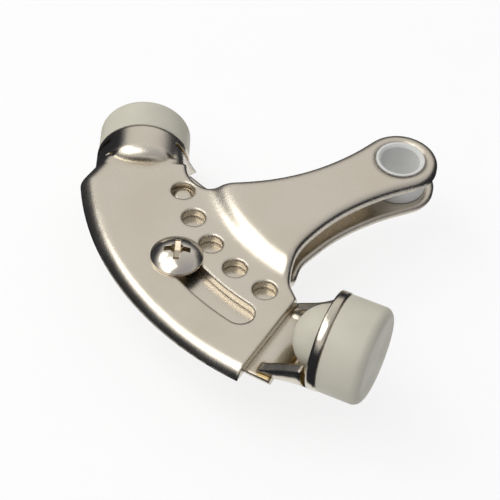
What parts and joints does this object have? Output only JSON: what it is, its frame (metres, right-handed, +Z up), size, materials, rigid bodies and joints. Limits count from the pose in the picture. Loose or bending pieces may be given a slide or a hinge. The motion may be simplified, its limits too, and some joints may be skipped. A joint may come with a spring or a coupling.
{
  "type": "hinge pin door stop",
  "caption": "Adjustable hinge pin door stop: stacked pressed nickel plates with stepped arms, a row of index holes, a curved clamp slot with its screw, and rubber bumpers in drawn hoods.",
  "frame": {"origin": "on the hinge pin's axis, midway between the two pressed plates", "axes": "+Z up along the hinge pin, +X from the pin to the middle index hole, +Y towards the lower plate's bumper"},
  "size_m": [0.0722, 0.0912, 0.0294],
  "materials": {
    "nickel": "polished to satin nickel plate on pressed steel",
    "screw": "polished nickel plate",
    "nut": "nickel plate",
    "rubber": "satin ivory rubber",
    "nylon": "satin white nylon"
  },
  "bodies": {
    "upper": {"upper_plate": "nickel", "hinge_bush": "nylon", "upper_bumper": "rubber"},
    "lower": {"lower_plate": "nickel", "lower_bumper": "rubber"},
    "nut": {"clamp_nut": "nut"},
    "screw": {"clamp_screw": "screw"}
  },
  "joints": [
    {"name": "plate_swing", "type": "hinge", "parent": "upper", "child": "lower", "pos_m": [0, 0, 0], "axis": [0, 0, 1], "range_deg": [0, 40]},
    {"name": "clamp_travel", "type": "hinge", "parent": "upper", "child": "nut", "pos_m": [0, 0, 0], "axis": [0, 0, 1], "range_deg": [0, 20]},
    {"name": "screw_turn", "type": "hinge", "parent": "nut", "child": "screw", "pos_m": [0.05225, 0, 0], "axis": [0, 0, 1], "range_deg": [0, 720]}
  ],
  "couplings": [
    {"joint": "clamp_travel", "follows": "plate_swing", "ratio": 0.5}
  ]
}
